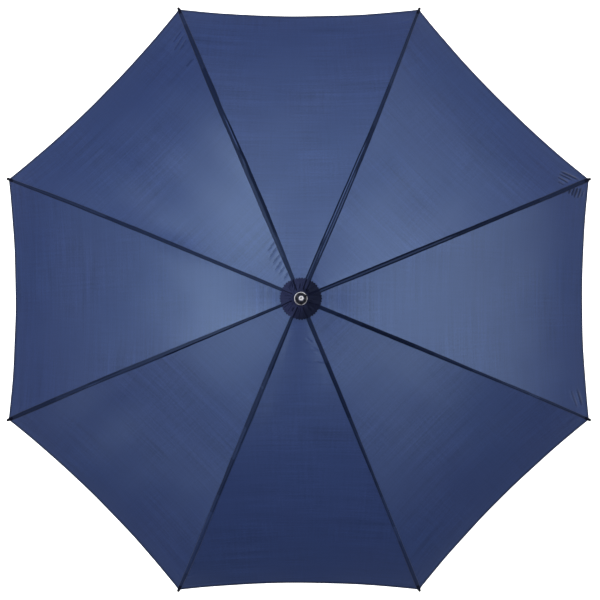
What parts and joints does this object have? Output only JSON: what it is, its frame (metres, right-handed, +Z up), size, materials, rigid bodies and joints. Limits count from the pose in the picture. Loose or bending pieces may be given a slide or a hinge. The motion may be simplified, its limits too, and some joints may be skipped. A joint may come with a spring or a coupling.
{
  "type": "umbrella",
  "caption": "Straight folding umbrella, shown open: a panelled domed cloth canopy on jointed steel ribs and stretchers, a sliding runner on a tubular shaft, a pointed ferrule and a plain grip.",
  "frame": {"origin": "middle of the cylindrical part of the grip, on the shaft's axis", "axes": "+Z runs up the shaft from the handle to the ferrule; +X and +Y point at the middle of a canopy panel; the catches and the runner's thumb window face +X"},
  "size_m": [0.953, 0.953, 0.832],
  "materials": {
    "canopy_cloth": "satin",
    "rosette_cloth": "matte",
    "strap_cloth": "matte",
    "rib_steel": "satin",
    "shaft_steel": "satin",
    "wire_steel": "satin",
    "hub_plastic": "satin",
    "ferrule_plastic": "gloss",
    "bright_plate": "polished",
    "tip_metal": "satin",
    "rib_tip_plastic": "satin",
    "grip_plastic": "matte"
  },
  "bodies": {
    "frame": {"shaft": "shaft_steel", "shaft_pins": "wire_steel", "top_notch": "hub_plastic", "notch_wire": "wire_steel", "rosette": "rosette_cloth", "top_cup": "bright_plate", "ferrule": "ferrule_plastic", "ferrule_tip": "tip_metal", "handle": "grip_plastic", "handle_collar": "bright_plate", "handle_end_cap": "hub_plastic"},
    "runner": {"runner": "hub_plastic", "runner_wire": "wire_steel"},
    "top_catch": {"top_catch": "wire_steel"},
    "bottom_catch": {"bottom_catch": "wire_steel"},
    "rib_arm_1": {"rib_1": "rib_steel", "rib_tip_1": "rib_tip_plastic", "rib_bracket_1": "rib_steel", "canopy_gore_1": "canopy_cloth", "tie_strap": "strap_cloth"},
    "stretcher_arm_1": {"stretcher_1": "rib_steel"},
    "rib_arm_2": {"rib_2": "rib_steel", "rib_tip_2": "rib_tip_plastic", "rib_bracket_2": "rib_steel", "canopy_gore_2": "canopy_cloth"},
    "stretcher_arm_2": {"stretcher_2": "rib_steel"},
    "rib_arm_3": {"rib_3": "rib_steel", "rib_tip_3": "rib_tip_plastic", "rib_bracket_3": "rib_steel", "canopy_gore_3": "canopy_cloth"},
    "stretcher_arm_3": {"stretcher_3": "rib_steel"},
    "rib_arm_4": {"rib_4": "rib_steel", "rib_tip_4": "rib_tip_plastic", "rib_bracket_4": "rib_steel", "canopy_gore_4": "canopy_cloth"},
    "stretcher_arm_4": {"stretcher_4": "rib_steel"},
    "rib_arm_5": {"rib_5": "rib_steel", "rib_tip_5": "rib_tip_plastic", "rib_bracket_5": "rib_steel", "canopy_gore_5": "canopy_cloth"},
    "stretcher_arm_5": {"stretcher_5": "rib_steel"},
    "rib_arm_6": {"rib_6": "rib_steel", "rib_tip_6": "rib_tip_plastic", "rib_bracket_6": "rib_steel", "canopy_gore_6": "canopy_cloth"},
    "stretcher_arm_6": {"stretcher_6": "rib_steel"},
    "rib_arm_7": {"rib_7": "rib_steel", "rib_tip_7": "rib_tip_plastic", "rib_bracket_7": "rib_steel", "canopy_gore_7": "canopy_cloth"},
    "stretcher_arm_7": {"stretcher_7": "rib_steel"},
    "rib_arm_8": {"rib_8": "rib_steel", "rib_tip_8": "rib_tip_plastic", "rib_bracket_8": "rib_steel", "canopy_gore_8": "canopy_cloth"},
    "stretcher_arm_8": {"stretcher_8": "rib_steel"}
  },
  "joints": [
    {"name": "runner_slide", "type": "slide", "parent": "frame", "child": "runner", "axis": [0, 0, 1], "range_m": [-0.27559, 0]},
    {"name": "top_catch_press", "type": "hinge", "parent": "frame", "child": "top_catch", "pos_m": [-0.0015, 0, 0.34712], "axis": [0, 1, 0], "range_deg": [-6, 0], "stiffness_Nm_per_rad": 0.6},
    {"name": "bottom_catch_press", "type": "hinge", "parent": "frame", "child": "bottom_catch", "pos_m": [-0.0015, 0, 0.14604], "axis": [0, 1, 0], "range_deg": [0, 6], "stiffness_Nm_per_rad": 0.6},
    {"name": "rib_hinge_1", "type": "hinge", "parent": "frame", "child": "rib_arm_1", "pos_m": [0.01016, 0.00421, 0.69], "axis": [-0.3827, 0.9239, 0], "range_deg": [0, 61.5], "deforming": ["canopy_gore_1", "tie_strap"]},
    {"name": "stretcher_hinge_1", "type": "hinge", "parent": "rib_arm_1", "child": "stretcher_arm_1", "pos_m": [0.22611, 0.09366, 0.60463], "axis": [-0.3827, 0.9239, 0], "range_deg": [-107.84, 0]},
    {"name": "rib_hinge_2", "type": "hinge", "parent": "frame", "child": "rib_arm_2", "pos_m": [0.00421, 0.01016, 0.69], "axis": [-0.9239, 0.3827, 0], "range_deg": [0, 61.5], "deforming": ["canopy_gore_2"]},
    {"name": "stretcher_hinge_2", "type": "hinge", "parent": "rib_arm_2", "child": "stretcher_arm_2", "pos_m": [0.09366, 0.22611, 0.60463], "axis": [-0.9239, 0.3827, 0], "range_deg": [-107.84, 0]},
    {"name": "rib_hinge_3", "type": "hinge", "parent": "frame", "child": "rib_arm_3", "pos_m": [-0.00421, 0.01016, 0.69], "axis": [-0.9239, -0.3827, 0], "range_deg": [0, 61.5], "deforming": ["canopy_gore_3"]},
    {"name": "stretcher_hinge_3", "type": "hinge", "parent": "rib_arm_3", "child": "stretcher_arm_3", "pos_m": [-0.09366, 0.22611, 0.60463], "axis": [-0.9239, -0.3827, 0], "range_deg": [-107.84, 0]},
    {"name": "rib_hinge_4", "type": "hinge", "parent": "frame", "child": "rib_arm_4", "pos_m": [-0.01016, 0.00421, 0.69], "axis": [-0.3827, -0.9239, 0], "range_deg": [0, 61.5], "deforming": ["canopy_gore_4"]},
    {"name": "stretcher_hinge_4", "type": "hinge", "parent": "rib_arm_4", "child": "stretcher_arm_4", "pos_m": [-0.22611, 0.09366, 0.60463], "axis": [-0.3827, -0.9239, 0], "range_deg": [-107.84, 0]},
    {"name": "rib_hinge_5", "type": "hinge", "parent": "frame", "child": "rib_arm_5", "pos_m": [-0.01016, -0.00421, 0.69], "axis": [0.3827, -0.9239, 0], "range_deg": [0, 61.5], "deforming": ["canopy_gore_5"]},
    {"name": "stretcher_hinge_5", "type": "hinge", "parent": "rib_arm_5", "child": "stretcher_arm_5", "pos_m": [-0.22611, -0.09366, 0.60463], "axis": [0.3827, -0.9239, 0], "range_deg": [-107.84, 0]},
    {"name": "rib_hinge_6", "type": "hinge", "parent": "frame", "child": "rib_arm_6", "pos_m": [-0.00421, -0.01016, 0.69], "axis": [0.9239, -0.3827, 0], "range_deg": [0, 61.5], "deforming": ["canopy_gore_6"]},
    {"name": "stretcher_hinge_6", "type": "hinge", "parent": "rib_arm_6", "child": "stretcher_arm_6", "pos_m": [-0.09366, -0.22611, 0.60463], "axis": [0.9239, -0.3827, 0], "range_deg": [-107.84, 0]},
    {"name": "rib_hinge_7", "type": "hinge", "parent": "frame", "child": "rib_arm_7", "pos_m": [0.00421, -0.01016, 0.69], "axis": [0.9239, 0.3827, 0], "range_deg": [0, 61.5], "deforming": ["canopy_gore_7"]},
    {"name": "stretcher_hinge_7", "type": "hinge", "parent": "rib_arm_7", "child": "stretcher_arm_7", "pos_m": [0.09366, -0.22611, 0.60463], "axis": [0.9239, 0.3827, 0], "range_deg": [-107.84, 0]},
    {"name": "rib_hinge_8", "type": "hinge", "parent": "frame", "child": "rib_arm_8", "pos_m": [0.01016, -0.00421, 0.69], "axis": [0.3827, 0.9239, 0], "range_deg": [0, 61.5], "deforming": ["canopy_gore_8"]},
    {"name": "stretcher_hinge_8", "type": "hinge", "parent": "rib_arm_8", "child": "stretcher_arm_8", "pos_m": [0.22611, -0.09366, 0.60463], "axis": [0.3827, 0.9239, 0], "range_deg": [-107.84, 0]}
  ],
  "couplings": [
    {"joint": "rib_hinge_1", "follows": "runner_slide", "rad_per_m": -3.8948},
    {"joint": "stretcher_hinge_1", "follows": "runner_slide", "rad_per_m": 6.8296},
    {"joint": "rib_hinge_2", "follows": "runner_slide", "rad_per_m": -3.8948},
    {"joint": "stretcher_hinge_2", "follows": "runner_slide", "rad_per_m": 6.8296},
    {"joint": "rib_hinge_3", "follows": "runner_slide", "rad_per_m": -3.8948},
    {"joint": "stretcher_hinge_3", "follows": "runner_slide", "rad_per_m": 6.8296},
    {"joint": "rib_hinge_4", "follows": "runner_slide", "rad_per_m": -3.8948},
    {"joint": "stretcher_hinge_4", "follows": "runner_slide", "rad_per_m": 6.8296},
    {"joint": "rib_hinge_5", "follows": "runner_slide", "rad_per_m": -3.8948},
    {"joint": "stretcher_hinge_5", "follows": "runner_slide", "rad_per_m": 6.8296},
    {"joint": "rib_hinge_6", "follows": "runner_slide", "rad_per_m": -3.8948},
    {"joint": "stretcher_hinge_6", "follows": "runner_slide", "rad_per_m": 6.8296},
    {"joint": "rib_hinge_7", "follows": "runner_slide", "rad_per_m": -3.8948},
    {"joint": "stretcher_hinge_7", "follows": "runner_slide", "rad_per_m": 6.8296},
    {"joint": "rib_hinge_8", "follows": "runner_slide", "rad_per_m": -3.8948},
    {"joint": "stretcher_hinge_8", "follows": "runner_slide", "rad_per_m": 6.8296}
  ]
}
